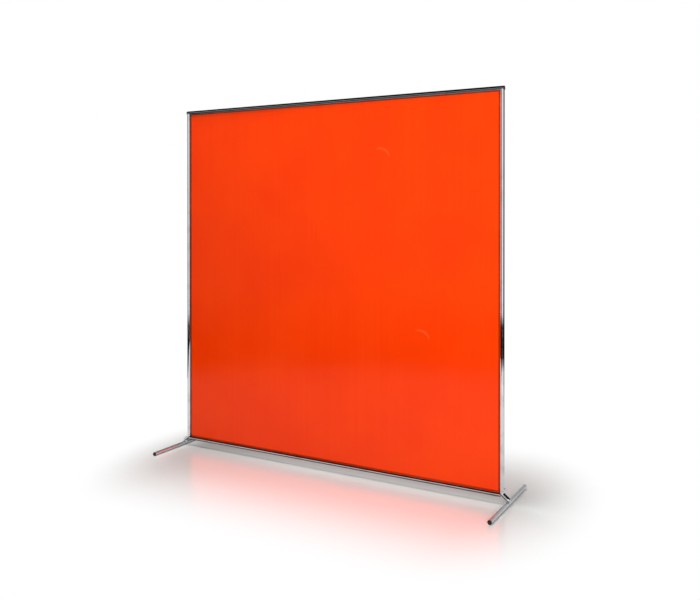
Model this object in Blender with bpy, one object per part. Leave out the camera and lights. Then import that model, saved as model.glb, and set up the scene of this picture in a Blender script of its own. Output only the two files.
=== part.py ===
"""Welding curtain screen: a square tube frame with a stretched PVC curtain, standing on two swivelling feet.

Metres, +X along the screen, +Y to its back, +Z up. The origin is on the floor under the middle of the screen.
"""

import math

import bmesh
import bpy
from mathutils import Matrix, Vector

for old_object in list(bpy.data.objects):
    bpy.data.objects.remove(old_object, do_unlink=True)

# ---- Driving sizes ----
SCREEN_WIDTH = 2.000  # over the outer sides of the two posts
SCREEN_HEIGHT = 2.000  # from the underside of the bottom rail to the top of the top rail
FRAME_LIFT = 0.036  # clear height under the bottom rail
TUBE_D = 0.022  # every tube of the frame and of the feet
TUBE_WALL = 0.0015
SLOT_WIDTH = 0.003  # lengthways slot that lets the curtain into a tube
CURTAIN_THICKNESS = 0.0005
HEM_CORD_D = 0.006  # cord along the curtain's hem, wider than the slot
FOOT_LENGTH = 0.540  # over its two end caps
FOOT_OUTSET = 0.030  # from a post's axis outwards to its foot's axis

CAP_FLANGE = 0.003  # thickness of a cap's head
CAP_BARREL = 0.015  # how far a cap reaches into its tube
CAP_EDGE = 0.001  # chamfer round the head and the barrel's end

SHOULDER = 0.008  # plain arm of a corner leg, beyond the tube that crosses it
SPIGOT_LENGTH = 0.040  # how far a corner leg reaches into a post or into the bottom rail
LEG_END_STRAIGHT = 0.004  # the leg's end below its lower bend

SADDLE_LENGTH = 0.032
SADDLE_WALL = 0.0022
BOSS_RIM = 0.001  # the saddle's boss beyond the leg that stands on it
BOSS_HEIGHT = 0.003  # the boss's flat top above the foot tube

BOLT_D = 0.006
BOLT_HEAD = 0.004
BOLT_REACH = 0.012  # how far a swivel bolt goes up into its leg
WASHER_THICKNESS = 0.0012

TOP_SCREW_D = 0.005
TOP_SCREW_HEAD_D = 0.0095
TOP_SCREW_SINK = 0.0006  # from the top rail's crown down to the screw's head
TOP_SCREW_REACH = 0.016  # how far a top screw goes down into its plug
POST_PLUG_LENGTH = 0.020

LOCK_SCREW_D = 0.004
LOCK_SCREW_HEAD = 0.0022
LOCK_SCREW_LENGTH = 0.006
LOCK_SCREW_INSET = 0.012  # from the end of the tube that it locks

# ---- Fits ----
GAP = 0.0003  # between pieces that touch
HOLE_CLEARANCE = 0.0004  # round a screw, on its radius
HEAD_CLEARANCE = 0.0006  # round a screw's head or a washer, on its radius
CORD_END_CLEARANCE = 0.002  # from a hem cord's end to the fitting in the same tube

# ---- Worked-out sizes ----
TUBE_R = TUBE_D / 2
BORE_R = TUBE_R - TUBE_WALL
PLUG_R = BORE_R - GAP  # whatever is pushed into a tube
POST_X = SCREEN_WIDTH / 2 - TUBE_R
FOOT_X = POST_X + FOOT_OUTSET
FOOT_Z = TUBE_R
RAIL_Z = FRAME_LIFT + TUBE_R
TOP_Z = FRAME_LIFT + SCREEN_HEIGHT - TUBE_R
TOP_RAIL_END = SCREEN_WIDTH / 2 - CAP_FLANGE - GAP
ARM_TOP = RAIL_Z + TUBE_R + SHOULDER  # where a post stands on its corner leg
ARM_END = POST_X - TUBE_R - SHOULDER  # where the bottom rail meets a corner leg
PLUG_TOP = TOP_Z - TUBE_R - GAP
LEG_END = TUBE_D + BOSS_HEIGHT + GAP
LOCK_Z = ARM_TOP + LOCK_SCREW_INSET
LOCK_X = ARM_END - LOCK_SCREW_INSET
TOP_SCREW_HOLE_R = TOP_SCREW_D / 2 + HOLE_CLEARANCE
LOCK_HOLE_R = LOCK_SCREW_D / 2 + HOLE_CLEARANCE
BOLT_HOLE_R = BOLT_D / 2 + HOLE_CLEARANCE
COUNTERSINK_DEPTH = (TOP_SCREW_HEAD_D - TOP_SCREW_D) / 2
SCREW_TOP = TOP_Z + TUBE_R - TOP_SCREW_SINK

X = Vector((1, 0, 0))
Y = Vector((0, 1, 0))
Z = Vector((0, 0, 1))
ENDS = ((-1, "left"), (1, "right"))
SIDES = 32  # flats round a tube
SCREW_SIDES = 24
HEXAGON = 6

# ---- Finishes: colour, roughness, metallic ----
CHROME = ((0.72, 0.71, 0.70), 0.12, 1.0)
ORANGE_PVC = ((0.92, 0.11, 0.01), 0.22, 0.0)
CORD_PVC = ((0.55, 0.08, 0.01), 0.50, 0.0)
BLACK_PLASTIC = ((0.012, 0.012, 0.012), 0.45, 0.0)
ZINC = ((0.60, 0.61, 0.63), 0.30, 1.0)


def add_piece(name, bm, finish, origin=(0, 0, 0)):
    """Turns a bmesh in world coordinates into a named object whose origin is at the given point."""
    bmesh.ops.translate(bm, verts=bm.verts, vec=-Vector(origin))
    mesh = bpy.data.meshes.new(name)
    bm.to_mesh(mesh)
    bm.free()
    mesh.shade_smooth()
    mesh.set_sharp_from_angle(angle=math.radians(35))
    piece = bpy.data.objects.new(name, mesh)
    piece.location = origin
    bpy.context.scene.collection.objects.link(piece)
    material = bpy.data.materials.new(name + "_finish")
    material.use_nodes = True
    shader = material.node_tree.nodes["Principled BSDF"]
    colour, roughness, metallic = finish
    shader.inputs["Base Color"].default_value = (*colour, 1)
    shader.inputs["Roughness"].default_value = roughness
    shader.inputs["Metallic"].default_value = metallic
    mesh.materials.append(material)
    return piece


def combine(operation, bm, *pieces):
    """Cuts the shape in bm from each piece, or fuses it to the piece, with a live Boolean."""
    mesh = bpy.data.meshes.new("tool")
    bm.to_mesh(mesh)
    bm.free()
    tool = bpy.data.objects.new("tool", mesh)
    tool.hide_render = True
    tool.display_type = "WIRE"
    bpy.context.scene.collection.objects.link(tool)
    for piece in pieces:
        modifier = piece.modifiers.new(operation.title(), "BOOLEAN")
        modifier.operation = operation
        modifier.solver = "EXACT"
        modifier.object = tool


def round_bar(radius, start, end, sides=SIDES):
    """A closed cylinder whose flats lie on the true radius."""
    start, end = Vector(start), Vector(end)
    along = end - start
    turn = along.to_track_quat("Z", "Y").to_matrix().to_4x4() @ Matrix.Rotation(math.pi / sides, 4, "Z")
    corner_radius = radius / math.cos(math.pi / sides)
    bm = bmesh.new()
    bmesh.ops.create_cone(
        bm,
        cap_ends=True,
        segments=sides,
        radius1=corner_radius,
        radius2=corner_radius,
        depth=along.length,
        matrix=Matrix.Translation((start + end) / 2) @ turn,
    )
    return bm


def turned(profile, base, direction, sides=SIDES):
    """Spins (distance along, radius) points about an axis; a profile that starts off it makes a ring."""
    base, direction = Vector(base), Vector(direction)
    outwards = direction.orthogonal().normalized()
    bm = bmesh.new()
    verts = [bm.verts.new(base + along * direction + radius * outwards) for along, radius in profile]
    edges = [bm.edges.new(ends) for ends in zip(verts, verts[1:])]
    if profile[0][1] > 0:
        edges.append(bm.edges.new((verts[-1], verts[0])))
    bmesh.ops.spin(
        bm, geom=verts + edges, cent=base, axis=direction, angle=math.tau, steps=sides, use_merge=True
    )
    bmesh.ops.remove_doubles(bm, verts=bm.verts, dist=1e-6)
    bmesh.ops.recalc_face_normals(bm, faces=bm.faces)
    return bm


def extruded(outline, along):
    """A closed solid from a flat outline."""
    bm = bmesh.new()
    face = bm.faces.new([bm.verts.new(point) for point in outline])
    swept = bmesh.ops.extrude_face_region(bm, geom=[face])["geom"]
    moved = [item for item in swept if isinstance(item, bmesh.types.BMVert)]
    bmesh.ops.translate(bm, verts=moved, vec=along)
    bmesh.ops.recalc_face_normals(bm, faces=bm.faces)
    return bm


def slotted_tube(start, end, slot_side):
    """A tube open along one side by the width of the slot, so its section is a C."""
    start, end, slot_side = Vector(start), Vector(end), Vector(slot_side)
    across = (end - start).normalized().cross(slot_side)
    outline = []
    for radius, steps in ((TUBE_R, range(SIDES + 1)), (BORE_R, range(SIDES, -1, -1))):
        half_slot = math.asin(SLOT_WIDTH / 2 / radius)
        for step in steps:
            angle = half_slot + (math.tau - 2 * half_slot) * step / SIDES
            outline.append(start + radius * (math.cos(angle) * slot_side + math.sin(angle) * across))
    return extruded(outline, end - start)


def mitred_bar(radius, path):
    """A round bar along a bent path, with a mitre at each bend."""
    path = [Vector(point) for point in path]
    stretches = [(b - a).normalized() for a, b in zip(path, path[1:])]
    first_turn = stretches[0].to_track_quat("Z", "Y").to_matrix().to_4x4()
    bm = bmesh.new()
    start = Matrix.Translation(path[0]) @ first_turn
    bmesh.ops.create_circle(bm, segments=SIDES, radius=radius, matrix=start)
    edges = list(bm.edges)
    for corner, stretch, following in zip(path[1:], stretches, stretches[1:] + stretches[-1:]):
        mitre = (stretch + following).normalized()
        swept = bmesh.ops.extrude_edge_only(bm, edges=edges)["geom"]
        edges = [item for item in swept if isinstance(item, bmesh.types.BMEdge)]
        for item in swept:
            if isinstance(item, bmesh.types.BMVert):
                item.co += stretch * ((corner - item.co).dot(mitre) / stretch.dot(mitre))
    bmesh.ops.holes_fill(bm, edges=bm.edges, sides=0)
    bmesh.ops.recalc_face_normals(bm, faces=bm.faces)
    return bm


def keep_above(bm, height):
    """Cuts a closed solid square at a height and keeps its upper part."""
    geometry = bm.verts[:] + bm.edges[:] + bm.faces[:]
    bmesh.ops.bisect_plane(bm, geom=geometry, plane_co=(0, 0, height), plane_no=Z, clear_inner=True)
    bmesh.ops.holes_fill(bm, edges=bm.edges, sides=0)
    bmesh.ops.recalc_face_normals(bm, faces=bm.faces)
    return bm


def end_cap(tube_end, outwards):
    """A push-in cap for a tube, with a barrel inside and a head as wide as the tube."""
    profile = (
        (-CAP_BARREL, 0),
        (-CAP_BARREL, PLUG_R - CAP_EDGE),
        (-CAP_BARREL + CAP_EDGE, PLUG_R),
        (GAP, PLUG_R),
        (GAP, TUBE_R),
        (GAP + CAP_FLANGE - CAP_EDGE, TUBE_R),
        (GAP + CAP_FLANGE, TUBE_R - CAP_EDGE),
        (GAP + CAP_FLANGE, 0),
    )
    return turned(profile, tube_end, outwards)


def add_screw(name, diameter, length, head, base, direction):
    """A button-head screw: its head stands on base, looks along direction and has a hexagon socket."""
    base, direction = Vector(base), Vector(direction)
    head_r = 0.85 * diameter
    profile = (
        (-length, 0),
        (-length, diameter / 2),
        (0, diameter / 2),
        (0, head_r),
        (0.45 * head, head_r),
        (0.85 * head, 0.75 * head_r),
        (head, 0.45 * head_r),
        (head, 0),
    )
    piece = add_piece(name, turned(profile, base, direction, SCREW_SIDES), ZINC)
    socket = round_bar(diameter / 4, base + 0.3 * head * direction, base + 2 * head * direction, HEXAGON)
    combine("DIFFERENCE", socket, piece)


def add_top_rail():
    """The slotted tube that lies across both posts, and the cap that closes each of its ends."""
    tube = slotted_tube((-TOP_RAIL_END, 0, TOP_Z), (TOP_RAIL_END, 0, TOP_Z), -Z)
    rail = add_piece("top_rail", tube, CHROME)
    countersink_r = TOP_SCREW_HEAD_D / 2 + HOLE_CLEARANCE
    countersink = (
        (-COUNTERSINK_DEPTH, 0),
        (-COUNTERSINK_DEPTH, TOP_SCREW_HOLE_R),
        (0, countersink_r),
        (TUBE_WALL, countersink_r),
        (TUBE_WALL, 0),
    )
    for side, name in ENDS:
        post_x = side * POST_X
        cap_shape = end_cap((side * TOP_RAIL_END, 0, TOP_Z), side * X)
        cap = add_piece("top_rail_cap_" + name, cap_shape, BLACK_PLASTIC)
        above_rail = (post_x, 0, TOP_Z + TUBE_D)
        combine("DIFFERENCE", round_bar(TOP_SCREW_HOLE_R, (post_x, 0, TOP_Z - TUBE_D), above_rail), rail, cap)
        combine("DIFFERENCE", turned(countersink, (post_x, 0, SCREW_TOP), Z), rail)
        head_seat = (post_x, 0, SCREW_TOP - COUNTERSINK_DEPTH - GAP)
        combine("DIFFERENCE", round_bar(countersink_r, head_seat, above_rail), cap)


def add_post(side, name):
    """A tube slotted towards the curtain and coped to the top rail, with a threaded plug and its screw."""
    post_x = side * POST_X
    tube = slotted_tube((post_x, 0, ARM_TOP + GAP), (post_x, 0, TOP_Z), -side * X)
    post = add_piece("post_" + name, tube, CHROME)
    rail_room = round_bar(TUBE_R + GAP, (post_x - TUBE_D, 0, TOP_Z), (post_x + TUBE_D, 0, TOP_Z))
    combine("DIFFERENCE", rail_room, post)
    plug = (
        (-POST_PLUG_LENGTH, TOP_SCREW_HOLE_R),
        (-POST_PLUG_LENGTH, PLUG_R),
        (0, PLUG_R),
        (0, TOP_SCREW_HOLE_R),
    )
    add_piece("post_plug_" + name, turned(plug, (post_x, 0, PLUG_TOP), Z), ZINC)
    screw_end = SCREW_TOP - PLUG_TOP + TOP_SCREW_REACH
    countersunk = (
        (-screw_end, 0),
        (-screw_end, TOP_SCREW_D / 2),
        (-COUNTERSINK_DEPTH, TOP_SCREW_D / 2),
        (0, TOP_SCREW_HEAD_D / 2),
        (0, 0),
    )
    screw = add_piece("top_screw_" + name, turned(countersunk, (post_x, 0, SCREW_TOP), Z, SCREW_SIDES), ZINC)
    socket_ends = ((post_x, 0, SCREW_TOP - COUNTERSINK_DEPTH), (post_x, 0, SCREW_TOP + COUNTERSINK_DEPTH))
    combine("DIFFERENCE", round_bar(TOP_SCREW_D / 3, *socket_ends, HEXAGON), screw)
    return post


def add_corner_leg(side, name):
    """A casting with a spigot up into the post, one into the bottom rail, and a leg bent out to the foot."""
    post_x = side * POST_X
    foot_x = side * FOOT_X
    arm_end = side * ARM_END
    spigot_top = ARM_TOP + SPIGOT_LENGTH
    spigot_end = arm_end - side * SPIGOT_LENGTH
    lower_bend = LEG_END + LEG_END_STRAIGHT
    path = (
        (post_x, 0, ARM_TOP),
        (post_x, 0, RAIL_Z + TUBE_R / 2),
        (foot_x, 0, lower_bend),
        (foot_x, 0, lower_bend - TUBE_D),
    )
    leg = add_piece("corner_leg_" + name, keep_above(mitred_bar(TUBE_R, path), LEG_END), CHROME)
    corner = (post_x, 0, RAIL_Z)
    combine("UNION", round_bar(TUBE_R, (arm_end, 0, RAIL_Z), (post_x - side * TUBE_R / 2, 0, RAIL_Z)), leg)
    combine("UNION", round_bar(PLUG_R, corner, (post_x, 0, spigot_top)), leg)
    combine("UNION", round_bar(PLUG_R, (spigot_end, 0, RAIL_Z), corner), leg)
    post_core_r = PLUG_R - TUBE_WALL
    rail_core_r = post_core_r - GAP
    core_foot = (post_x, 0, RAIL_Z - TUBE_R / 3)
    combine("DIFFERENCE", round_bar(post_core_r, core_foot, (post_x, 0, spigot_top + TUBE_R)), leg)
    combine("DIFFERENCE", round_bar(rail_core_r, (spigot_end - side * TUBE_R, 0, RAIL_Z), corner), leg)
    return leg


def add_lock_screws(side, name, post, bottom_rail, leg):
    """The two screws that lock a post and the bottom rail on the spigots of their corner leg."""
    post_x = side * POST_X
    lock_x = side * LOCK_X
    outside = SCREEN_WIDTH / 2 + GAP
    post_hole = round_bar(LOCK_HOLE_R, (post_x, 0, LOCK_Z), (post_x + side * TUBE_D, 0, LOCK_Z), SCREW_SIDES)
    combine("DIFFERENCE", post_hole, post, leg)
    rail_hole = round_bar(LOCK_HOLE_R, (lock_x, 0, RAIL_Z), (lock_x, 0, RAIL_Z - TUBE_D), SCREW_SIDES)
    combine("DIFFERENCE", rail_hole, bottom_rail, leg)
    size = (LOCK_SCREW_D, LOCK_SCREW_LENGTH, LOCK_SCREW_HEAD)
    add_screw("post_lock_screw_" + name, *size, (side * outside, 0, LOCK_Z), side * X)
    add_screw("rail_lock_screw_" + name, *size, (lock_x, 0, FRAME_LIFT - GAP), -Z)


def add_foot(side, name):
    """A straight tube with a cap at each end, and the saddle that lies on it; all of them swivel together."""
    foot_x = side * FOOT_X
    swivel = (foot_x, 0, 0)
    tube_end = FOOT_LENGTH / 2 - CAP_FLANGE - GAP
    tube = round_bar(TUBE_R, (foot_x, -tube_end, FOOT_Z), (foot_x, tube_end, FOOT_Z))
    foot = add_piece("foot_tube_" + name, tube, CHROME, swivel)
    bore = round_bar(BORE_R, (foot_x, -FOOT_LENGTH, FOOT_Z), (foot_x, FOOT_LENGTH, FOOT_Z))
    combine("DIFFERENCE", bore, foot)
    for end, end_name in ((-1, "front"), (1, "back")):
        cap = end_cap((foot_x, end * tube_end, FOOT_Z), end * Y)
        add_piece("foot_cap_" + name + "_" + end_name, cap, BLACK_PLASTIC, swivel)

    half_length = SADDLE_LENGTH / 2
    shell_ends = ((foot_x, -half_length, FOOT_Z), (foot_x, half_length, FOOT_Z))
    shell = round_bar(TUBE_R + GAP + SADDLE_WALL, *shell_ends)
    saddle = add_piece("foot_saddle_" + name, shell, CHROME, swivel)
    boss_top = (foot_x, 0, TUBE_D + BOSS_HEIGHT)
    combine("UNION", round_bar(TUBE_R + BOSS_RIM, (foot_x, 0, FOOT_Z), boss_top), saddle)
    tube_room = ((foot_x, -SADDLE_LENGTH, FOOT_Z), (foot_x, SADDLE_LENGTH, FOOT_Z))
    combine("DIFFERENCE", round_bar(TUBE_R + GAP, *tube_room), saddle)
    corners = ((-1, -1), (1, -1), (1, 1), (-1, 1))
    lower_half = [Vector((foot_x + a * TUBE_D, b * SADDLE_LENGTH, FOOT_Z - TUBE_D)) for a, b in corners]
    combine("DIFFERENCE", extruded(lower_half, TUBE_D * Z), saddle)
    return foot, saddle


def add_swivel(side, name, foot, saddle, leg):
    """The bolt that a foot turns on and its washer, inside the foot tube and put in through a hole below."""
    foot_x = side * FOOT_X
    washer_r = BOLT_D  # a plain washer is twice as wide as its bolt
    washer_top = FOOT_Z + math.sqrt((BORE_R - GAP) ** 2 - washer_r**2)
    washer_base = washer_top - WASHER_THICKNESS
    head_seat = washer_base - GAP
    bolt_end = LEG_END + BOLT_REACH
    bolt_hole = round_bar(BOLT_HOLE_R, (foot_x, 0, FOOT_Z), (foot_x, 0, bolt_end + GAP), SCREW_SIDES)
    combine("DIFFERENCE", bolt_hole, foot, saddle, leg)
    way_in = round_bar(washer_r + HEAD_CLEARANCE, (foot_x, 0, -TUBE_R), (foot_x, 0, FOOT_Z), SCREW_SIDES)
    combine("DIFFERENCE", way_in, foot)
    add_screw("swivel_bolt_" + name, BOLT_D, bolt_end - head_seat, BOLT_HEAD, (foot_x, 0, head_seat), -Z)
    washer = ((0, BOLT_HOLE_R), (0, washer_r), (WASHER_THICKNESS, washer_r), (WASHER_THICKNESS, BOLT_HOLE_R))
    add_piece("swivel_washer_" + name, turned(washer, (foot_x, 0, washer_base), Z, SCREW_SIDES), ZINC)


def add_hem_cords():
    """The cords along the curtain's four hems, each shut in its tube behind the slot."""
    cord_offset = BORE_R - GAP - HEM_CORD_D / 2
    cord_x = POST_X - cord_offset
    top_end = TOP_RAIL_END - CAP_BARREL - CORD_END_CLEARANCE
    bottom_end = ARM_END - SPIGOT_LENGTH - CORD_END_CLEARANCE
    side_foot = ARM_TOP + SPIGOT_LENGTH + CORD_END_CLEARANCE
    side_top = PLUG_TOP - POST_PLUG_LENGTH - CORD_END_CLEARANCE
    runs = {
        "top": ((-top_end, 0, TOP_Z - cord_offset), (top_end, 0, TOP_Z - cord_offset)),
        "bottom": ((-bottom_end, 0, RAIL_Z + cord_offset), (bottom_end, 0, RAIL_Z + cord_offset)),
        "left": ((-cord_x, 0, side_foot), (-cord_x, 0, side_top)),
        "right": ((cord_x, 0, side_foot), (cord_x, 0, side_top)),
    }
    for name, ends in runs.items():
        add_piece("hem_cord_" + name, round_bar(HEM_CORD_D / 2, *ends, 12), CORD_PVC)


def add_curtain():
    """One flat sheet whose edges lie in the four slots, stepped in round each corner leg."""
    edge_x = POST_X - BORE_R
    corner_x = POST_X - TUBE_R - GAP
    step_x = ARM_END - GAP
    top_edge = TOP_Z - BORE_R
    low_edge = RAIL_Z + BORE_R
    arm_clear = RAIL_Z + TUBE_R + GAP
    leg_clear = ARM_TOP + GAP
    right_half = (
        (step_x, low_edge),
        (step_x, arm_clear),
        (corner_x, arm_clear),
        (corner_x, leg_clear),
        (edge_x, leg_clear),
        (edge_x, top_edge),
    )
    front = -CURTAIN_THICKNESS / 2
    outline = [Vector((x, front, z)) for x, z in right_half]
    outline += [Vector((-x, front, z)) for x, z in reversed(right_half)]
    add_piece("curtain_sheet", extruded(outline, CURTAIN_THICKNESS * Y), ORANGE_PVC)


add_top_rail()
rail_half = ARM_END - GAP
rail_tube = slotted_tube((-rail_half, 0, RAIL_Z), (rail_half, 0, RAIL_Z), Z)
bottom_rail_piece = add_piece("bottom_rail", rail_tube, CHROME)
for end_side, end_label in ENDS:
    post_piece = add_post(end_side, end_label)
    leg_piece = add_corner_leg(end_side, end_label)
    add_lock_screws(end_side, end_label, post_piece, bottom_rail_piece, leg_piece)
    foot_piece, saddle_piece = add_foot(end_side, end_label)
    add_swivel(end_side, end_label, foot_piece, saddle_piece, leg_piece)
add_hem_cords()
add_curtain()
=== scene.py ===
import math

import bmesh
import bpy
from mathutils import Matrix, Vector


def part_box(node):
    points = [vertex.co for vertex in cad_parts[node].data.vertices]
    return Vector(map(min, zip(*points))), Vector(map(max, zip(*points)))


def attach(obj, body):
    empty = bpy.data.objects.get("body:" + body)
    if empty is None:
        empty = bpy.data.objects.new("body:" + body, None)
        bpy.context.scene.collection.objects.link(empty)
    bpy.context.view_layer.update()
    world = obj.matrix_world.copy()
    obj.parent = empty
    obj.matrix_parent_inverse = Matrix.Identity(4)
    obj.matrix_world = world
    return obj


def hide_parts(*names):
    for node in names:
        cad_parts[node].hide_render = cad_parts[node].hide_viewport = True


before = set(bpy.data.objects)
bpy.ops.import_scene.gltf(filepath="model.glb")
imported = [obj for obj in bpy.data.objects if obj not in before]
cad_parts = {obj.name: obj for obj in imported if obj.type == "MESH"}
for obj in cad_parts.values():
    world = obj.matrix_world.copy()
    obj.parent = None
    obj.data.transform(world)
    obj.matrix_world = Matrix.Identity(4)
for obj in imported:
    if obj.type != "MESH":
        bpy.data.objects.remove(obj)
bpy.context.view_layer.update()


# ---------------------------------------------------------------- foot tubes
# Each foot is a straight length of 22 x 1.5 mm steel tube, cut square and deburred, then bright chrome
# plated. It lies on the floor from front to back and turns about the bolt in its middle.
SIDES = (("left", -1), ("right", 1))
TUBE_R = 0.011
BORE_R = 0.0095
ROUND = 72
CHROME_BRIGHT = "dcdee2"
CHROME_HAZE = "b9b8b6"
# Near the floor the chrome turns greyer and mirrors less: dust, and painted shade under the feet.
FLOOR_DUST_AND_SHADE = "8d867c"
DUST_AND_SHADE_TOP = 0.030
DUST_AND_SHADE_FULL = 0.002


def linear(code):
    """An sRGB hex colour as linear red, green, blue and alpha."""
    parts = [int(code[i:i + 2], 16) / 255 for i in (0, 2, 4)]
    return [p / 12.92 if p <= 0.04045 else ((p + 0.055) / 1.055) ** 2.4 for p in parts] + [1.0]


def add_node(tree, kind, inputs=None, **settings):
    """Adds a node with its settings; an input is a value, or the output of another node."""
    node = tree.nodes.new(kind)
    for name, value in settings.items():
        setattr(node, name, value)
    for name, value in (inputs or {}).items():
        if isinstance(value, bpy.types.NodeSocket):
            tree.links.new(value, node.inputs[name])
        else:
            node.inputs[name].default_value = value
    return node


def new_material(name, **sockets):
    """A new material with the given sockets on its Principled shader; returns material, tree and shader."""
    material = bpy.data.materials.new(name)
    material.use_nodes = True
    shader = material.node_tree.nodes["Principled BSDF"]
    for socket, value in sockets.items():
        shader.inputs[socket.replace("_", " ")].default_value = value
    return material, material.node_tree, shader


def plated(name, polish, grain_mm, grain_height_mm):
    """Bright chrome over nickel: a mirror with faint handling haze, fine specks, and some dust and painted
    shade near the floor, so that its bands of light and dark stay crisp but not computer-clean."""
    material, tree, shader = new_material(name, Metallic=1.0)
    place = add_node(tree, "ShaderNodeTexCoord").outputs["Object"]
    height = add_node(tree, "ShaderNodeSeparateXYZ", {"Vector": place}).outputs["Z"]
    # Haze comes in patches of about 70 mm. Specks of under 0.1 mm are drawn at 1 mm so that they show.
    haze = add_node(tree, "ShaderNodeTexNoise", {"Vector": place, "Scale": 14.0, "Detail": 4.0}).outputs[0]
    specks = add_node(
        tree, "ShaderNodeTexNoise", {"Vector": place, "Scale": 900.0, "Detail": 1.0, "Roughness": 0.4}
    ).outputs[0]
    hazy = add_node(
        tree, "ShaderNodeMapRange", {0: haze, 1: 0.45, 2: 0.75, 4: 0.6}, interpolation_type="SMOOTHSTEP"
    ).outputs[0]
    # Near the floor the colour turns to a dull grey: dust, and painted shade where the feet meet the floor.
    dust_and_shade = add_node(
        tree, "ShaderNodeMapRange", {0: height, 1: DUST_AND_SHADE_TOP, 2: DUST_AND_SHADE_FULL, 4: 0.35},
        interpolation_type="SMOOTHSTEP",
    ).outputs[0]
    tone = add_node(
        tree, "ShaderNodeMix", {"Factor": hazy, 6: linear(CHROME_BRIGHT), 7: linear(CHROME_HAZE)},
        data_type="RGBA",
    ).outputs[2]
    tone = add_node(
        tree, "ShaderNodeMix", {"Factor": dust_and_shade, 6: tone, 7: linear(FLOOR_DUST_AND_SHADE)}, data_type="RGBA"
    ).outputs[2]
    rough = add_node(
        tree, "ShaderNodeMapRange", {0: haze, 1: 0.35, 2: 0.75, 3: polish, 4: polish + 0.05},
        interpolation_type="SMOOTHSTEP",
    ).outputs[0]
    for pattern, start, full, added in ((specks, 0.62, 0.75, 0.08), (height, DUST_AND_SHADE_TOP, DUST_AND_SHADE_FULL, 0.12)):
        rougher = add_node(
            tree, "ShaderNodeMapRange", {0: pattern, 1: start, 2: full, 4: added},
            interpolation_type="SMOOTHSTEP",
        ).outputs[0]
        rough = add_node(tree, "ShaderNodeMath", {0: rough, 1: rougher}, operation="ADD").outputs[0]
    # Bare chrome above; lower down, dust and painted shade take away a little of the metal's mirror.
    bare = add_node(
        tree, "ShaderNodeMapRange", {0: height, 1: 0.034, 2: 0.018, 3: 1.0, 4: 0.8},
        interpolation_type="SMOOTHSTEP",
    ).outputs[0]
    grain = add_node(
        tree, "ShaderNodeTexNoise", {"Vector": place, "Scale": 1000.0 / grain_mm, "Detail": 2.0}
    ).outputs[0]
    bump = add_node(
        tree, "ShaderNodeBump", {"Height": grain, "Strength": 0.3, "Distance": grain_height_mm / 1000}
    ).outputs[0]
    tree.links.new(bare, shader.inputs["Metallic"])
    tree.links.new(tone, shader.inputs["Base Color"])
    tree.links.new(rough, shader.inputs["Roughness"])
    tree.links.new(bump, shader.inputs["Normal"])
    return material


def turned(shape, outline, base, direction, steps=ROUND):
    """Spins an outline of (radius, distance along) round an axis; one that starts off it makes a ring."""
    base, direction = Vector(base), Vector(direction)
    out = direction.orthogonal().normalized()
    verts = [shape.verts.new(base + r * out + along * direction) for r, along in outline]
    edges = [shape.edges.new(ends) for ends in zip(verts, verts[1:])]
    if outline[0][0] > 0:
        edges.append(shape.edges.new((verts[-1], verts[0])))
    bmesh.ops.spin(
        shape, geom=verts + edges, cent=base, axis=direction, angle=math.tau, steps=steps, use_merge=True
    )
    bmesh.ops.remove_doubles(shape, verts=shape.verts, dist=1e-6)


def make_piece(name, shape, materials, body, replaced=None, edge=0.0003, limit=40):
    """Makes a piece from a finished bmesh, softens its sharp edges, and puts it on its body."""
    bmesh.ops.recalc_face_normals(shape, faces=shape.faces)
    mesh = bpy.data.meshes.new(name)
    shape.to_mesh(mesh)
    shape.free()
    mesh.shade_smooth()
    for material in materials:
        mesh.materials.append(material)
    piece = bpy.data.objects.new(name, mesh)
    bpy.context.scene.collection.objects.link(piece)
    if edge:
        bevel = piece.modifiers.new("Soft edges", "BEVEL")
        bevel.width = edge
        bevel.segments = 2
        bevel.limit_method = "ANGLE"
        bevel.angle_limit = math.radians(limit)
        bevel.harden_normals = True
    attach(piece, body)
    if replaced:
        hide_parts(replaced)
    return piece


# The tube is drawn and buffed, so its surface rolls a few micrometres over about 5 mm.
chromed_tube = plated("bright_chrome_on_drawn_tube", polish=0.03, grain_mm=5.0, grain_height_mm=0.004)
for side, _ in SIDES:
    low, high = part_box("foot_tube_" + side)
    length = high.y - low.y
    wall = ((TUBE_R, 0), (TUBE_R, length), (BORE_R, length), (BORE_R, 0))
    shape = bmesh.new()
    turned(shape, wall, ((low.x + high.x) / 2, low.y, TUBE_R), (0, 1, 0))
    make_piece("foot_" + side, shape, [chromed_tube], "foot_" + side, "foot_tube_" + side)


# ------------------------------------------------------------------ foot caps
# A push-in cap of black polyethylene closes each end of a foot. Injection moulded in one piece: a ribbed
# barrel that grips the bore, and a head with a rounded rim and the small mark of the moulding gate.
CAP_BARREL_R = 0.0092
CAP_GROOVE_R = 0.0088
CAP_BARREL = 0.0150
CAP_LENGTH = 0.0183
BLACK = "141414"
BLACK_WORN = "2b2a29"

cap_outline = (
    (0, 0), (0.0080, 0), (CAP_BARREL_R, 0.0012), (CAP_BARREL_R, 0.0030), (CAP_GROOVE_R, 0.0035),
    (CAP_BARREL_R, 0.0050), (CAP_BARREL_R, 0.0070), (CAP_GROOVE_R, 0.0075), (CAP_BARREL_R, 0.0090),
    (CAP_BARREL_R, CAP_BARREL), (TUBE_R, CAP_BARREL), (TUBE_R, 0.0171), (0.01078, 0.01768),
    (0.01024, 0.01812), (0.0094, CAP_LENGTH), (0.0030, CAP_LENGTH), (0.0022, 0.0180), (0.0010, 0.0179),
    (0, 0.0179),
)


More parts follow.
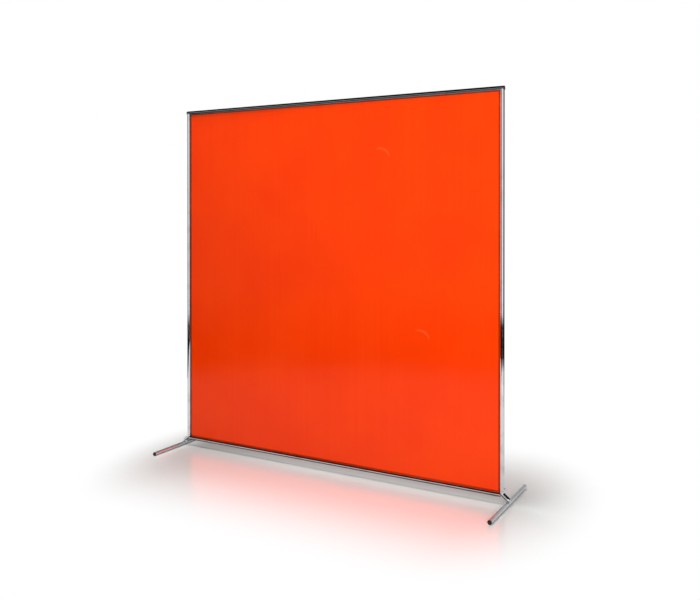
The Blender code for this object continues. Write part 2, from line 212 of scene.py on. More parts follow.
def moulded_black():
    """Polyethylene as moulded: a soft low sheen from a fine spark-eroded grain, greyer where it rubs."""
    material, tree, shader = new_material("moulded_polyethylene_black", IOR=1.51)
    place = add_node(tree, "ShaderNodeTexCoord").outputs["Object"]
    # Rubbed patches of about 5 mm. The real grain of about 0.05 mm is drawn at 0.8 mm so that it shows.
    wear = add_node(tree, "ShaderNodeTexNoise", {"Vector": place, "Scale": 220.0, "Detail": 5.0}).outputs[0]
    grain = add_node(
        tree, "ShaderNodeTexNoise", {"Vector": place, "Scale": 1250.0, "Detail": 2.0}
    ).outputs[0]
    worn = add_node(
        tree, "ShaderNodeMapRange", {0: wear, 1: 0.48, 2: 0.72, 4: 0.8}, interpolation_type="SMOOTHSTEP"
    ).outputs[0]
    tone = add_node(
        tree, "ShaderNodeMix", {"Factor": worn, 6: linear(BLACK), 7: linear(BLACK_WORN)}, data_type="RGBA"
    ).outputs[2]
    rough = add_node(
        tree, "ShaderNodeMapRange", {0: wear, 1: 0.4, 2: 0.7, 3: 0.36, 4: 0.52},
        interpolation_type="SMOOTHSTEP",
    ).outputs[0]
    bump = add_node(
        tree, "ShaderNodeBump", {"Height": grain, "Strength": 0.5, "Distance": 0.00008}
    ).outputs[0]
    tree.links.new(tone, shader.inputs["Base Color"])
    tree.links.new(rough, shader.inputs["Roughness"])
    tree.links.new(bump, shader.inputs["Normal"])
    return material


black_plastic = moulded_black()
for side, _ in SIDES:
    for end, outwards in (("front", -1), ("back", 1)):
        cap = f"foot_cap_{side}_{end}"
        low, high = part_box(cap)
        inner = high.y if outwards < 0 else low.y
        shape = bmesh.new()
        turned(shape, cap_outline, ((low.x + high.x) / 2, inner, TUBE_R), (0, outwards, 0))
        make_piece(f"foot_end_{side}_{end}", shape, [black_plastic], "foot_" + side, cap, edge=0)


# --------------------------------------------------- swivel saddles and bolts
# A die-cast zinc saddle is brazed over the middle of each foot and chromed with it. Its flat round boss
# carries the leg, and an M6 bolt with a washer passes up through both as the pin that the foot turns on.
SADDLE_R = 0.0135
SADDLE_INNER_R = 0.0113
BOSS_R = 0.0120
BOSS_START_Z = 0.0200
BOSS_FOOT_R = 0.0126
BOSS_RINGS = 6
BOSS_ROUND = 64
ZINC = "c3c8cf"
ZINC_BLOOM = "cfc8b4"


def drawn_along(shape, way):
    """Extrudes all the faces of a flat section along a straight way; returns the verts of its far end."""
    swept = bmesh.ops.extrude_face_region(shape, geom=shape.faces[:])["geom"]
    far_end = [item for item in swept if isinstance(item, bmesh.types.BMVert)]
    bmesh.ops.translate(shape, verts=far_end, vec=way)
    return far_end


# A casting is polished less evenly than tube: shallow dimples of about 2 mm.
chromed_casting = plated("bright_chrome_on_zinc_casting", polish=0.05, grain_mm=2.2, grain_height_mm=0.012)
for side, _ in SIDES:
    low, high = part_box("foot_saddle_" + side)
    middle_x = (low.x + high.x) / 2
    shape = bmesh.new()
    rim = [shape.verts.new((middle_x + r, low.y, TUBE_R)) for r in (SADDLE_R, SADDLE_INNER_R)]
    rim.append(shape.edges.new(rim))
    bmesh.ops.spin(
        shape, geom=rim, cent=(middle_x, low.y, TUBE_R), axis=(0, -1, 0), angle=math.pi, steps=36
    )
    drawn_along(shape, (0, high.y - low.y, 0))
    saddle_verts = set(shape.verts)
    bmesh.ops.create_cone(
        shape, cap_ends=True, segments=BOSS_ROUND, radius1=BOSS_R, radius2=BOSS_R,
        depth=high.z - BOSS_START_Z, matrix=Matrix.Translation((middle_x, 0, (high.z + BOSS_START_Z) / 2)),
    )
    # Rings inset in the boss's underside let it be laid closely on the round saddle.
    under_z = BOSS_START_Z + 0.001
    under = [f for f in shape.faces if len(f.verts) == BOSS_ROUND and f.calc_center_median().z < under_z]
    for _ in range(BOSS_RINGS - 1):
        bmesh.ops.inset_region(shape, faces=under, thickness=BOSS_R / (BOSS_RINGS + 1))
    bmesh.ops.poke(shape, faces=under)
    for vert in shape.verts:
        if vert not in saddle_verts and vert.co.z < under_z:
            vert.co.z = TUBE_R + math.sqrt(BOSS_FOOT_R ** 2 - (vert.co.x - middle_x) ** 2)
    make_piece(
        "saddle_" + side, shape, [chromed_casting], "foot_" + side, "foot_saddle_" + side,
        edge=0.0005,
    )


def zinc_plate():
    """Bright zinc over turned steel: a cool grey with a faint blue and yellow passivation bloom."""
    material, tree, shader = new_material("bright_zinc_on_turned_steel", Metallic=1.0)
    place = add_node(tree, "ShaderNodeTexCoord").outputs["Object"]
    # Bloom in patches of about 3 mm. Turning marks of 0.1 mm are drawn at 0.6 mm so that they show.
    bloom = add_node(
        tree, "ShaderNodeTexNoise", {"Vector": place, "Scale": 350.0, "Detail": 3.0}
    ).outputs[0]
    turning = add_node(
        tree, "ShaderNodeTexWave", {"Vector": place, "Scale": 500.0, "Distortion": 2.0, "Detail": 1.0},
        wave_type="RINGS",
    ).outputs["Fac"]
    bloomed = add_node(
        tree, "ShaderNodeMapRange", {0: bloom, 1: 0.35, 2: 0.65}, interpolation_type="SMOOTHSTEP"
    ).outputs[0]
    tone = add_node(
        tree, "ShaderNodeMix", {"Factor": bloomed, 6: linear(ZINC), 7: linear(ZINC_BLOOM)}, data_type="RGBA"
    ).outputs[2]
    rough = add_node(
        tree, "ShaderNodeMapRange", {0: bloom, 1: 0.3, 2: 0.7, 3: 0.22, 4: 0.38},
        interpolation_type="SMOOTHSTEP",
    ).outputs[0]
    bump = add_node(
        tree, "ShaderNodeBump", {"Height": turning, "Strength": 0.2, "Distance": 0.00003}
    ).outputs[0]
    tree.links.new(tone, shader.inputs["Base Color"])
    tree.links.new(rough, shader.inputs["Roughness"])
    tree.links.new(bump, shader.inputs["Normal"])
    return material


zinc = zinc_plate()
for side, _ in SIDES:
    for node in ("swivel_bolt_", "swivel_washer_", "post_plug_"):
        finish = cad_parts[node + side].data.materials
        finish.clear()
        finish.append(zinc)


# ---------------------------------------------------------------- corner legs
# One die-cast fitting per corner: a short leg cranked outwards to the foot, a stub for the bottom rail,
# and a turned spigot in each tube. Cast solid, fettled along its parting line and chromed. A small
# button-head screw locks each tube on its spigot.
POST_X = 0.989
FOOT_X = 1.019
RAIL_Z = 0.047
LEG_FOOT_Z = 0.0253
LOWER_BEND_Z = 0.0293
UPPER_BEND_Z = 0.0525
LEG_TOP_Z = 0.0660
ARM_END_X = 0.970
BEND = 0.0065
LEG_ROUND = 48
SPIGOT_R = 0.0092
SPIGOT_LENGTH = 0.040
SPIGOT_ROOT = 0.002
SPIGOT_CHAMFER = 0.001
SCREW_ROUND = 48
BUTTON_SOCKET_R = 0.00105
BUTTON_SOCKET_DEPTH = 0.0013
# The x and z of each lock screw's seat.
POST_SCREW = (1.0003, 0.078)
RAIL_SCREW = (0.958, 0.0357)

button_outline = (
    (0, -0.0060), (0.0016, -0.0060), (0.0020, -0.0055), (0.0020, 0), (0.0034, 0), (0.0034, 0.0008),
    (0.00325, 0.00125), (0.0029, 0.00170), (0.0023, 0.00205), (0.0015, 0.00220),
)


def cranked(shape, radius, path):
    """A round bar along a bent path, each bend a mitre between two close rings."""
    stretches = [(b - a).normalized() for a, b in zip(path, path[1:])]
    start = Matrix.Translation(path[0]) @ stretches[0].to_track_quat("Z", "Y").to_matrix().to_4x4()
    first = set(bmesh.ops.create_circle(shape, segments=LEG_ROUND, radius=radius, matrix=start)["verts"])
    edges = [edge for edge in shape.edges if edge.verts[0] in first and edge.verts[1] in first]
    ends = list(edges)
    for corner, stretch, following in zip(path[1:], stretches, stretches[1:] + stretches[-1:]):
        mitre = (stretch + following).normalized()
        swept = bmesh.ops.extrude_edge_only(shape, edges=edges)["geom"]
        edges = [item for item in swept if isinstance(item, bmesh.types.BMEdge)]
        for item in swept:
            if isinstance(item, bmesh.types.BMVert):
                item.co += stretch * ((corner - item.co).dot(mitre) / stretch.dot(mitre))
    bmesh.ops.holes_fill(shape, edges=ends + edges, sides=0)


def with_short_bends(points):
    """Adds a point close to each side of every bend, so that the bend stays short and looks rounded."""
    points = [Vector(point) for point in points]
    path = [points[0]]
    for before, corner, after in zip(points, points[1:], points[2:]):
        path += [corner + BEND * (before - corner).normalized(), corner]
        path.append(corner + BEND * (after - corner).normalized())
    return path + [points[-1]]


def socket_screw(outline, socket_r, depth, base, direction):
    """A screw turned from an outline that ends at its socket; the socket is a hexagon pressed in."""
    shape = bmesh.new()
    turned(shape, outline, base, direction, steps=SCREW_ROUND)
    base, direction = Vector(base), Vector(direction)
    mouth = [edge for edge in shape.edges if edge.is_boundary]
    turn = direction.to_track_quat("Z", "Y").to_matrix()
    for vert in {vert for edge in mouth for vert in edge.verts}:
        flat = turn.inverted() @ (vert.co - base)
        angle = math.atan2(flat.y, flat.x) % (math.pi / 3) - math.pi / 6
        flat.xy = flat.xy.normalized() * socket_r / math.cos(angle)
        vert.co = base + turn @ flat
    swept = bmesh.ops.extrude_edge_only(shape, edges=mouth)["geom"]
    pressed = [item for item in swept if isinstance(item, bmesh.types.BMVert)]
    bmesh.ops.translate(shape, verts=pressed, vec=-depth * direction)
    bottom = [item for item in swept if isinstance(item, bmesh.types.BMEdge)]
    bmesh.ops.holes_fill(shape, edges=bottom, sides=0)
    return shape


arm = POST_X - TUBE_R / 2 - ARM_END_X
arm_outline = ((0, 0), (TUBE_R, 0), (TUBE_R, arm), (0, arm))
spigot_end = SPIGOT_LENGTH + SPIGOT_ROOT
spigot_outline = (
    (0, 0), (SPIGOT_R, 0), (SPIGOT_R, spigot_end - SPIGOT_CHAMFER), (SPIGOT_R - SPIGOT_CHAMFER, spigot_end),
    (0, spigot_end),
)
for side, sign in SIDES:
    post, foot = sign * POST_X, sign * FOOT_X
    leg = ((post, 0, LEG_TOP_Z), (post, 0, UPPER_BEND_Z), (foot, 0, LOWER_BEND_Z), (foot, 0, 0))
    shape = bmesh.new()
    cranked(shape, TUBE_R, with_short_bends(leg))
    whole = shape.verts[:] + shape.edges[:] + shape.faces[:]
    bmesh.ops.bisect_plane(
        shape, geom=whole, plane_co=(0, 0, LEG_FOOT_Z), plane_no=(0, 0, 1), clear_inner=True
    )
    bmesh.ops.holes_fill(shape, edges=shape.edges[:], sides=0)
    turned(shape, arm_outline, (sign * ARM_END_X, 0, RAIL_Z), (sign, 0, 0))
    turned(shape, spigot_outline, (post, 0, LEG_TOP_Z - SPIGOT_ROOT), (0, 0, 1))
    turned(shape, spigot_outline, (sign * (ARM_END_X + SPIGOT_ROOT), 0, RAIL_Z), (-sign, 0, 0))
    make_piece(
        "leg_" + side, shape, [chromed_casting], "frame", "corner_leg_" + side, edge=0.0004,
        limit=60,
    )

for side, sign in SIDES:
    for name, (x, z), direction in (("post", POST_SCREW, (sign, 0, 0)), ("rail", RAIL_SCREW, (0, 0, -1))):
        shape = socket_screw(
            button_outline, BUTTON_SOCKET_R, BUTTON_SOCKET_DEPTH, (sign * x, 0, z), direction
        )
        make_piece(
            f"{name}_grub_screw_{side}", shape, [zinc], "frame", f"{name}_lock_screw_{side}", edge=0
        )


# ---------------------------------------------------------------- bottom rail
# The lower edge of the curtain hangs into a 22 x 1.5 mm chromed tube with a 3 mm slot milled along its top.
# It is pushed over the spigots of both legs as far as their stubs.
SLOT_WIDTH = 0.003


def slotted_tube(shape, start, end, slot_side):
    """A tube open along one side: its C-shaped section is spun from one radial edge, then drawn along it.
    Returns the verts of its far end."""
    start, end, slot_side = Vector(start), Vector(end), Vector(slot_side)
    along = (end - start).normalized()
    half_slot = math.asin(SLOT_WIDTH / 2 / TUBE_R)
    lip = Matrix.Rotation(half_slot, 3, along) @ slot_side
    edge = [shape.verts.new(start + r * lip) for r in (TUBE_R, BORE_R)]
    edge.append(shape.edges.new(edge))
    bmesh.ops.spin(shape, geom=edge, cent=start, axis=along, angle=math.tau - 2 * half_slot, steps=ROUND)
    return drawn_along(shape, end - start)


low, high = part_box("bottom_rail")
shape = bmesh.new()
slotted_tube(shape, (low.x, 0, RAIL_Z), (high.x, 0, RAIL_Z), (0, 0, 1))
make_piece("rail_bottom", shape, [chromed_tube], "frame", "bottom_rail")


# ---------------------------------------------------------------------- posts
# The posts are the same slotted tube, with the slot towards the curtain. The lower end sits on the leg's
# spigot; the upper end is coped to fit closely round the underside of the top rail.
TOP_Z = 2.025
COPE_R = 0.0113

for side, sign in SIDES:
    low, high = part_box("post_" + side)
    shape = bmesh.new()
    upper = slotted_tube(shape, (sign * POST_X, 0, low.z), (sign * POST_X, 0, TOP_Z), (-sign, 0, 0))
    for vert in upper:
        vert.co.z = TOP_Z - math.sqrt(COPE_R ** 2 - vert.co.y ** 2)
    make_piece("upright_" + side, shape, [chromed_tube], "frame", "post_" + side)


# -------------------------------------------------------------------- curtain
# One flat panel of 0.5 mm soft orange PVC film, calendered, cut with notched lower corners, and held
# taut by the slots on all four sides. Its margin is folded back and welded, and that double hem is
# coloured a deeper orange that is partly painted shade along the frame, so a darker line frames it.
# Two small crescent creases, left from the time it was folded, are painted highlights in its colour only.
FILM = 0.0005
EDGE_X = 0.9795
EDGE_TOP = 2.0155
EDGE_BOTTOM = 0.0565
# The lower corners are cut away in two steps, each outside its x and below its z.
NOTCHES = ((0.9697, 0.0583), (0.9777, 0.0663))
HEM_SIDE_X = 0.9688
HEM_TOP_Z = 2.0093
HEM_BOTTOM_Z = 0.0645
HEM_BEHIND = 0.0007
FILM_CELLS = 72
HEM_CELLS = 24
WAVE = 0.0007
WAVE_MARGIN = 0.15
ORANGE = "fa4000"
ORANGE_DEEP = "f63a00"
# The welded hem's darker orange: the double layer's deeper colour, and painted shade along the frame.
WELD_SHADE_ORANGE = "b03a12"
WELD_SHADE_DEEP = "93300f"
# The lighter orange of the creases' painted highlights.
CREASE_PAINTED_HIGHLIGHT = "ff6d38"
# Each crease's painted highlight: its centre's x and z, and its radius.
CREASES = ((0.320, 1.703, 0.056), (0.550, 0.760, 0.054))
CREASE_HIGHLIGHT_WIDTH = 0.009
CREASE_HIGHLIGHT_STRENGTH = 0.45
CREASE_LIT_SIDE = (0.45, 0, 0.89)


def soft_pvc(name, light, deep, welded):
    """Plasticised PVC film: strong clear colour that lets some light through, under a skin that is glossy
    but not quite flat, with faint draw lines. A welded hem shows the fine teeth of the welding bar."""
    material, tree, shader = new_material(name, IOR=1.53, Transmission_Weight=0.18, Specular_IOR_Level=0.09)
    place = add_node(tree, "ShaderNodeTexCoord").outputs["Object"]
    # Cloudy patches of about 400 mm, and upright draw lines about 17 mm apart, coarser than the real 2 mm.
    cloud = add_node(tree, "ShaderNodeTexNoise", {"Vector": place, "Scale": 2.5, "Detail": 3.0}).outputs[0]
    drawn = add_node(tree, "ShaderNodeMapping", {"Vector": place, "Scale": (60.0, 60.0, 0.8)}).outputs[0]
    lines = add_node(tree, "ShaderNodeTexNoise", {"Vector": drawn, "Scale": 1.0, "Detail": 2.0}).outputs[0]
    streaks = add_node(
        tree, "ShaderNodeMapRange", {0: lines, 1: 0.3, 2: 0.7, 3: -0.05, 4: 0.05},
        interpolation_type="SMOOTHSTEP",
    ).outputs[0]
    streaked = add_node(tree, "ShaderNodeMath", {0: cloud, 1: streaks}, operation="ADD").outputs[0]
    depth = add_node(
        tree, "ShaderNodeMapRange", {0: streaked, 1: 0.3, 2: 0.7}, interpolation_type="SMOOTHSTEP"
    ).outputs[0]
    tone = add_node(
        tree, "ShaderNodeMix", {"Factor": depth, 6: linear(deep), 7: linear(light)}, data_type="RGBA"
    ).outputs[2]
    flat = add_node(tree, "ShaderNodeVectorMath", {0: place, 1: (1, 0, 1)}, operation="MULTIPLY").outputs[0]
    # Each crease is a painted highlight: part of a thin lighter ring, on the side that would catch the
    # light.
    for x, z, radius in CREASES:
        away = add_node(
            tree, "ShaderNodeVectorMath", {0: flat, 1: (x, 0, z)}, operation="SUBTRACT"
        ).outputs[0]
        reach = add_node(tree, "ShaderNodeVectorMath", {0: away}, operation="LENGTH").outputs["Value"]
        off_ring = add_node(tree, "ShaderNodeMath", {0: reach, 1: radius}, operation="SUBTRACT").outputs[0]
        off_ring = add_node(tree, "ShaderNodeMath", {0: off_ring}, operation="ABSOLUTE").outputs[0]
        ring = add_node(
            tree, "ShaderNodeMapRange", {0: off_ring, 1: 0.0, 2: CREASE_HIGHLIGHT_WIDTH, 3: CREASE_HIGHLIGHT_STRENGTH, 4: 0.0},
            interpolation_type="SMOOTHSTEP",
        ).outputs[0]
        toward = add_node(
            tree, "ShaderNodeVectorMath", {0: away, 1: CREASE_LIT_SIDE}, operation="DOT_PRODUCT"
        ).outputs["Value"]
        caught = add_node(
            tree, "ShaderNodeMapRange", {0: toward, 1: 0.50 * radius, 2: 0.90 * radius},
            interpolation_type="SMOOTHSTEP",
        ).outputs[0]
        crease_highlight = add_node(tree, "ShaderNodeMath", {0: ring, 1: caught}, operation="MULTIPLY").outputs[0]
        tone = add_node(
            tree, "ShaderNodeMix", {"Factor": crease_highlight, 6: tone, 7: linear(CREASE_PAINTED_HIGHLIGHT)}, data_type="RGBA"
        ).outputs[2]
    rough = add_node(
        tree, "ShaderNodeMapRange", {0: cloud, 1: 0.3, 2: 0.7, 3: 0.13, 4: 0.22},
        interpolation_type="SMOOTHSTEP",
    ).outputs[0]
    relief, relief_height = lines, 0.00015
    if welded:
        # The bar's teeth are about 1.1 mm square.
        relief = add_node(tree, "ShaderNodeTexChecker", {"Vector": place, "Scale": 900.0}).outputs["Fac"]
        relief_height = 0.0001
    bump = add_node(
        tree, "ShaderNodeBump", {"Height": relief, "Strength": 0.4, "Distance": relief_height}
    ).outputs[0]
    tree.links.new(tone, shader.inputs["Base Color"])
    tree.links.new(rough, shader.inputs["Roughness"])
    tree.links.new(bump, shader.inputs["Normal"])
    return material


film = soft_pvc("calendered_soft_pvc_orange", ORANGE, ORANGE_DEEP, welded=False)
# The welded hem film is darker in part as painted shade along the frame.
shaded_welded_film = soft_pvc("welded_double_pvc_orange_painted_shade", WELD_SHADE_ORANGE, WELD_SHADE_DEEP, welded=True)


def film_panel(cells, only_hem=False):
    """The cut panel as a flat net, split along its hem and notches; the hem gets the second material."""
    net = bmesh.new()
    middle_z, half_height = (EDGE_BOTTOM + EDGE_TOP) / 2, (EDGE_TOP - EDGE_BOTTOM) / 2
    place = Matrix.Translation((0, 0, middle_z)) @ Matrix.Rotation(math.pi / 2, 4, "X")
    place = place @ Matrix.Diagonal((EDGE_X, half_height, 1, 1))
    bmesh.ops.create_grid(net, x_segments=cells, y_segments=cells, size=1, matrix=place)
    upright = [x for x, _ in NOTCHES] + [HEM_SIDE_X]
    across = [z for _, z in NOTCHES] + [HEM_BOTTOM_Z, HEM_TOP_Z]
    cuts = [((way * x, 0, 0), (1, 0, 0)) for x in upright for way in (-1, 1)]
    cuts += [((0, 0, z), (0, 0, 1)) for z in across]
    for point, normal in cuts:
        whole = net.verts[:] + net.edges[:] + net.faces[:]
        bmesh.ops.bisect_plane(net, geom=whole, plane_co=point, plane_no=normal)
    unwanted = []
    for face in net.faces:
        centre = face.calc_center_median()
        notched = any(abs(centre.x) > x and centre.z < z for x, z in NOTCHES)
        in_hem = abs(centre.x) > HEM_SIDE_X or not HEM_BOTTOM_Z < centre.z < HEM_TOP_Z
        if notched or (only_hem and not in_hem):
            unwanted.append(face)
        # Hem faces take the darker welded film, partly painted shade along the frame.
        face.material_index = int(in_hem)
    bmesh.ops.delete(net, geom=unwanted, context="FACES")
    return net


net = film_panel(FILM_CELLS)
film_area = sum(face.calc_area() for face in net.faces)
# A slow unevenness of about 1 mm that dies out towards the edges, where the slots hold the film.
for vert in net.verts:
    x, z = vert.co.x, vert.co.z
    inside = min(EDGE_X - abs(x), EDGE_TOP - z, z - EDGE_BOTTOM)
    free = min(max(inside / WAVE_MARGIN, 0.0), 1.0)
    wave = math.sin(3.1 * x + 0.7) * math.sin(2.3 * z + 0.4) + 0.5 * math.sin(7.3 * x)
    vert.co.y = WAVE * free * free * (3 - 2 * free) * wave
bmesh.ops.solidify(net, geom=net.faces[:], thickness=FILM)
curtain = make_piece("curtain", net, [film, shaded_welded_film], "frame", "curtain_sheet", edge=0)

hem_net = film_panel(HEM_CELLS, only_hem=True)
bmesh.ops.solidify(hem_net, geom=hem_net.faces[:], thickness=FILM)
bmesh.ops.translate(hem_net, verts=hem_net.verts, vec=(0, HEM_BEHIND, 0))
hem = make_piece("curtain_hem", hem_net, [shaded_welded_film, shaded_welded_film], "frame", edge=0)


# ------------------------------------------------------------------ hem cords
# A 6 mm cord of solid PVC is threaded through each hem. It is too thick to pass the slot, so it holds the
# film's edge inside the tube. Extruded, cut off square and slightly rounded at the ends.
CORD_R = 0.003
CORD_ORANGE = "b8400f"
CORD_DEEP = "93300a"
ACROSS = (1, 0, 0)
UPWARDS = (0, 0, 1)


def extruded_pvc():
    """Solid PVC cord: a satin, slightly mottled orange-brown."""
    material, tree, shader = new_material("extruded_pvc_cord", IOR=1.53)
    place = add_node(tree, "ShaderNodeTexCoord").outputs["Object"]
    # Mottled in patches of about 11 mm.
    mottle = add_node(
        tree, "ShaderNodeTexNoise", {"Vector": place, "Scale": 90.0, "Detail": 3.0}
    ).outputs[0]
    mottled = add_node(
        tree, "ShaderNodeMapRange", {0: mottle, 1: 0.3, 2: 0.7}, interpolation_type="SMOOTHSTEP"
    ).outputs[0]
    tone = add_node(
        tree, "ShaderNodeMix", {"Factor": mottled, 6: linear(CORD_ORANGE), 7: linear(CORD_DEEP)},
        data_type="RGBA",
    ).outputs[2]
    rough = add_node(
        tree, "ShaderNodeMapRange", {0: mottle, 1: 0.3, 2: 0.7, 3: 0.4, 4: 0.55},
        interpolation_type="SMOOTHSTEP",
    ).outputs[0]
    bump = add_node(
        tree, "ShaderNodeBump", {"Height": mottle, "Strength": 0.3, "Distance": 0.0001}
    ).outputs[0]
    tree.links.new(tone, shader.inputs["Base Color"])
    tree.links.new(rough, shader.inputs["Roughness"])
    tree.links.new(bump, shader.inputs["Normal"])
    return material


cord_pvc = extruded_pvc()
for name, direction in (("top", ACROSS), ("bottom", ACROSS), ("left", UPWARDS), ("right", UPWARDS)):
    low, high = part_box("hem_cord_" + name)
    length = max(high - low)
    start = (low + high) / 2 - Vector(direction) * length / 2
    outline = (
        (0, 0), (CORD_R - 0.0008, 0), (CORD_R - 0.0002, 0.0003), (CORD_R, 0.0009),
        (CORD_R, length - 0.0009), (CORD_R - 0.0002, length - 0.0003), (CORD_R - 0.0008, length),
        (0, length),
    )
    shape = bmesh.new()
    turned(shape, outline, start, direction, steps=24)
    make_piece("cord_" + name, shape, [cord_pvc], "frame", "hem_cord_" + name, edge=0)


# ------------------------------------------------------------------- top rail
# The top rail is a third slotted tube, slot down, laid across both posts. A countersunk socket screw at
# each end goes down through it into a threaded plug in the post, and black caps close its ends.
COUNTERSUNK_SOCKET_R = 0.0016
COUNTERSUNK_SOCKET_DEPTH = 0.0018

countersunk_outline = (
    (0, -0.0377), (0.0021, -0.0377), (0.0025, -0.0371), (0.0025, -0.00225), (0.0046, -0.00015),
    (0.00475, 0), (0.0045, 0.00005), (0.0019, 0.00005),
)

low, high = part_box("top_rail")
shape = bmesh.new()
slotted_tube(shape, (low.x, 0, TOP_Z), (high.x, 0, TOP_Z), (0, 0, -1))
make_piece("rail_top", shape, [chromed_tube], "frame", "top_rail")

for side, sign in SIDES:
    low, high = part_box("top_rail_cap_" + side)
    outer = max(abs(low.x), abs(high.x))
    shape = bmesh.new()
    turned(shape, cap_outline, (sign * (outer - CAP_LENGTH), 0, TOP_Z), (sign, 0, 0))
    make_piece("rail_cap_" + side, shape, [black_plastic], "frame", "top_rail_cap_" + side, edge=0)

for side, _ in SIDES:
    low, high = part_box("top_screw_" + side)
    shape = socket_screw(
        countersunk_outline, COUNTERSUNK_SOCKET_R, COUNTERSUNK_SOCKET_DEPTH,
        ((low.x + high.x) / 2, 0, high.z), (0, 0, 1),
    )
    make_piece("rail_screw_" + side, shape, [zinc], "frame", "top_screw_" + side, edge=0)


# ---------------------------------------------------------------------- stage
# A pale, slightly glossy studio floor that fades into a painted white glow, soft light from above, the
# front and behind, and a surround of upright panels under a dark top, over a dark horizon and a bright far
# floor, for the chrome to mirror.
FLOOR_R = 2.9
FLOOR_PALE = "eae8e5"
# Tones that only reflections see: painted shade where steep, painted light where grazing.
FLOOR_STEEP_PAINTED_SHADE = "747270"
FLOOR_GRAZING_PAINTED_LIGHT = "f2f0ed"
FADE_MIDDLE_X = 0.07
FADE_HALF_LENGTH = 0.79
FADE_SIDEWAYS = 1.6
FADE_FROM = 0.24
FADE_TO = 0.98
# The height of a ray where the surround turns dark below the horizon, and bright again at the far floor.
HORIZON_DARK = -0.134
HORIZON_SOFTNESS = 0.009
FAR_FLOOR = -0.192
FAR_FLOOR_SOFTNESS = 0.010
WHITE = (1, 1, 1, 1)
SURROUND_GLOW = 0.03
# Each panel: its angle from straight ahead and its half-width, in degrees, and its strength.
FRONT_PANELS = ((30, 27, 1.2), (-80, 24, 0.5), (-34, 34, 0.31), (130, 22, 0.2))
REAR_PANEL = (180, 38, 0.40)
FAR_FLOOR_PANELS = ((72, 76, 0.7), (20, 26, 0.5))
PANEL_SOFTNESS = 6

floor_mesh = bmesh.new()
bmesh.ops.create_circle(floor_mesh, cap_ends=True, segments=128, radius=FLOOR_R)
mesh = bpy.data.meshes.new("floor")
floor_mesh.to_mesh(mesh)
floor_mesh.free()
floor = bpy.data.objects.new("floor", mesh)
bpy.context.scene.collection.objects.link(floor)
material, tree, shader = new_material("studio_floor", Roughness=0.22, IOR=1.45, Metallic=0.34)
place = add_node(tree, "ShaderNodeTexCoord").outputs["Object"]
rays = add_node(tree, "ShaderNodeLightPath").outputs
grazing = add_node(tree, "ShaderNodeLayerWeight", {"Blend": 0.5}).outputs["Facing"]
# Only in reflections, the floor is painted darker where a ray looks down on it steeply and a little lighter
# where it grazes it, so the chrome mirrors painted shade there.
shallow = add_node(
    tree, "ShaderNodeMapRange", {0: grazing, 1: 0.35, 2: 0.75}, interpolation_type="SMOOTHSTEP"
).outputs[0]
mirrored = add_node(
    tree, "ShaderNodeMix", {"Factor": shallow, 6: linear(FLOOR_STEEP_PAINTED_SHADE), 7: linear(FLOOR_GRAZING_PAINTED_LIGHT)},
    data_type="RGBA",
).outputs[2]
tone = add_node(
    tree, "ShaderNodeMix", {"Factor": rays["Is Glossy Ray"], 6: linear(FLOOR_PALE), 7: mirrored},
    data_type="RGBA",
).outputs[2]
tree.links.new(tone, shader.inputs["Base Color"])
# Seen by the camera, the floor fades into a painted white glow with the distance from a line under the
# screen, sooner sideways than in depth.
apart = place
for operation, operand in (
    ("SUBTRACT", (FADE_MIDDLE_X, 0, 0)), ("ABSOLUTE", (0, 0, 0)), ("SUBTRACT", (FADE_HALF_LENGTH, 0, 0)),
    ("MAXIMUM", (0, 0, 0)), ("MULTIPLY", (FADE_SIDEWAYS, 1, 1)),
):
    apart = add_node(tree, "ShaderNodeVectorMath", {0: apart, 1: operand}, operation=operation).outputs[0]
apart = add_node(tree, "ShaderNodeVectorMath", {0: apart}, operation="LENGTH").outputs["Value"]
faded = add_node(
    tree, "ShaderNodeMapRange", {0: apart, 1: FADE_FROM, 2: FADE_TO}, interpolation_type="SMOOTHSTEP"
).outputs[0]
faded = add_node(
    tree, "ShaderNodeMath", {0: faded, 1: rays["Is Camera Ray"]}, operation="MULTIPLY"
).outputs[0]
# Reflections that graze the floor also see a painted white glow.
reflected_glow = add_node(
    tree, "ShaderNodeMapRange", {0: grazing, 1: 0.58, 2: 0.75, 4: 0.6}, interpolation_type="SMOOTHSTEP"
).outputs[0]
reflected_glow = add_node(tree, "ShaderNodeMath", {0: reflected_glow, 1: rays["Is Glossy Ray"]}, operation="MULTIPLY").outputs[0]
painted_glow = add_node(tree, "ShaderNodeMath", {0: faded, 1: reflected_glow}, operation="ADD").outputs[0]
# The floor glows white though it is no lamp: painted light.
glow = add_node(tree, "ShaderNodeEmission", {"Color": WHITE, "Strength": 1.0}).outputs[0]
surface = add_node(tree, "ShaderNodeMixShader", {0: painted_glow, 1: shader.outputs[0], 2: glow}).outputs[0]
tree.links.new(surface, tree.nodes["Material Output"].inputs["Surface"])
mesh.materials.append(material)

world = bpy.data.worlds.new("studio")
bpy.context.scene.world = world
world.use_nodes = True
tree = world.node_tree
ray = add_node(tree, "ShaderNodeTexCoord").outputs["Generated"]
parts = add_node(tree, "ShaderNodeSeparateXYZ", {"Vector": ray}).outputs
east = add_node(tree, "ShaderNodeMath", {0: parts["X"], 1: parts["Y"]}, operation="ARCTAN2").outputs[0]
sky = add_node(
    tree, "ShaderNodeMapRange", {0: parts["Z"], 1: 0.17, 2: 0.24, 3: 1.0, 4: 0.02},
    interpolation_type="SMOOTHSTEP",
).outputs[0]
back_sky = add_node(
    tree, "ShaderNodeMapRange", {0: parts["Z"], 1: 0.46, 2: 0.60, 3: 1.0, 4: 0.03},
    interpolation_type="SMOOTHSTEP",
).outputs[0]
above_horizon = add_node(
    tree, "ShaderNodeMapRange",
    {
        0: parts["Z"], 1: HORIZON_DARK - HORIZON_SOFTNESS, 2: HORIZON_DARK + HORIZON_SOFTNESS, 3: 0.02,
        4: 1.0,
    },
    interpolation_type="SMOOTHSTEP",
).outputs[0]
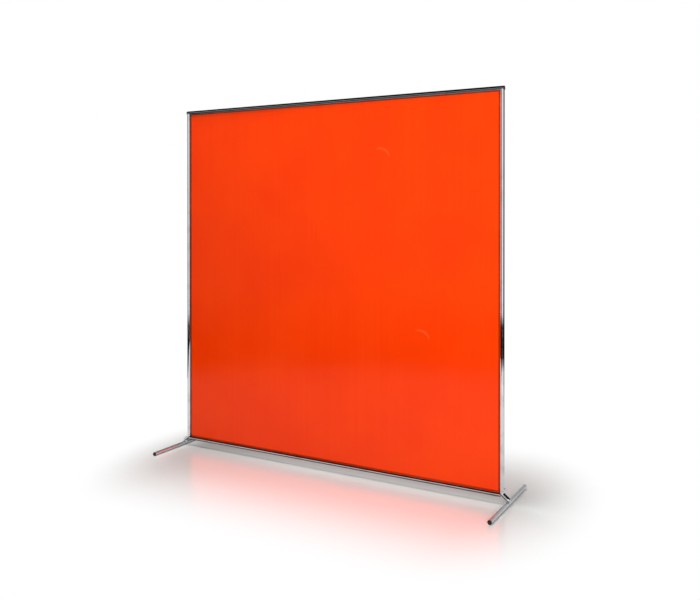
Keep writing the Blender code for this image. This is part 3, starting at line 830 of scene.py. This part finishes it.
strip = add_node(tree, "ShaderNodeMath", {0: sky, 1: above_horizon}, operation="MULTIPLY").outputs[0]
far_floor = add_node(
    tree, "ShaderNodeMapRange",
    {0: parts["Z"], 1: FAR_FLOOR - FAR_FLOOR_SOFTNESS, 2: FAR_FLOOR + FAR_FLOOR_SOFTNESS, 3: 1.0, 4: 0.0},
    interpolation_type="SMOOTHSTEP",
).outputs[0]


def panels(total, places):
    """Adds up the light of upright panels, at angles from straight ahead (-Y), positive towards +X."""
    for centre, half_width, strength in places:
        # arctan2(x, y) of a ray is pi at -Y and falls towards +X.
        ahead = math.pi - math.radians(centre)
        offset = add_node(tree, "ShaderNodeMath", {0: east, 1: ahead}, operation="SUBTRACT").outputs[0]
        offset = add_node(
            tree, "ShaderNodeMath", {0: offset, 1: math.pi, 2: -math.pi}, operation="WRAP"
        ).outputs[0]
        offset = add_node(tree, "ShaderNodeMath", {0: offset}, operation="ABSOLUTE").outputs[0]
        inner, outer = (math.radians(half_width + soft) for soft in (-PANEL_SOFTNESS, PANEL_SOFTNESS))
        light = add_node(
            tree, "ShaderNodeMapRange", {0: offset, 1: inner, 2: outer, 3: strength, 4: 0.0},
            interpolation_type="SMOOTHSTEP",
        ).outputs[0]
        total = add_node(tree, "ShaderNodeMath", {0: total, 1: light}, operation="ADD").outputs[0]
    return total


level = 0.0
for glow, places, where in (
    (SURROUND_GLOW, FRONT_PANELS, strip), (0.0, [REAR_PANEL], back_sky), (0.0, FAR_FLOOR_PANELS, far_floor)
):
    light = add_node(
        tree, "ShaderNodeMath", {0: panels(glow, places), 1: where}, operation="MULTIPLY"
    ).outputs[0]
    level = add_node(tree, "ShaderNodeMath", {0: level, 1: light}, operation="ADD").outputs[0]
mirrored = add_node(tree, "ShaderNodeBackground", {"Strength": level, "Color": WHITE}).outputs[0]
seen = add_node(tree, "ShaderNodeBackground", {"Strength": 1.0, "Color": WHITE}).outputs[0]
camera_ray = add_node(tree, "ShaderNodeLightPath").outputs["Is Camera Ray"]
surround = add_node(tree, "ShaderNodeMixShader", {0: camera_ray, 1: mirrored, 2: seen}).outputs[0]
output = next(n for n in tree.nodes if n.type == "OUTPUT_WORLD")
tree.links.new(surround, output.inputs["Surface"])

# Square soft lights that light the object but don't show in the chrome: name, place, aim, size, power.
for name, place, aim, size, power in (
    ("light_above", (-0.5, -0.4, 5.0), (-0.3, 0, 0), 2.4, 270),
    ("light_front", (3.4, -3.9, 2.1), (0.4, 0, 0.9), 2.5, 228),
    ("light_behind", (-1.0, 4.5, 2.5), (0, 0, 1.0), 3.0, 40),
):
    light = bpy.data.lights.new(name, "AREA")
    light.shape = "SQUARE"
    light.size = size
    light.energy = power
    lamp = bpy.data.objects.new(name, light)
    lamp.location = place
    lamp.rotation_euler = (Vector(aim) - Vector(place)).to_track_quat("-Z", "Y").to_euler()
    lamp.visible_glossy = False
    lamp.visible_camera = False
    bpy.context.scene.collection.objects.link(lamp)

camera_data = bpy.data.cameras.new("camera")
camera_data.lens = 40.17
camera_data.sensor_width = 36.0
camera_data.shift_y = -0.1208
camera = bpy.data.objects.new("camera", camera_data)
camera.location = (2.2102, -3.6667, 1.4229)
camera.rotation_euler = (math.radians(90 - 0.253), 0, math.radians(29.464))
bpy.context.scene.collection.objects.link(camera)
bpy.context.scene.camera = camera
bpy.context.scene.view_settings.view_transform = "Standard"
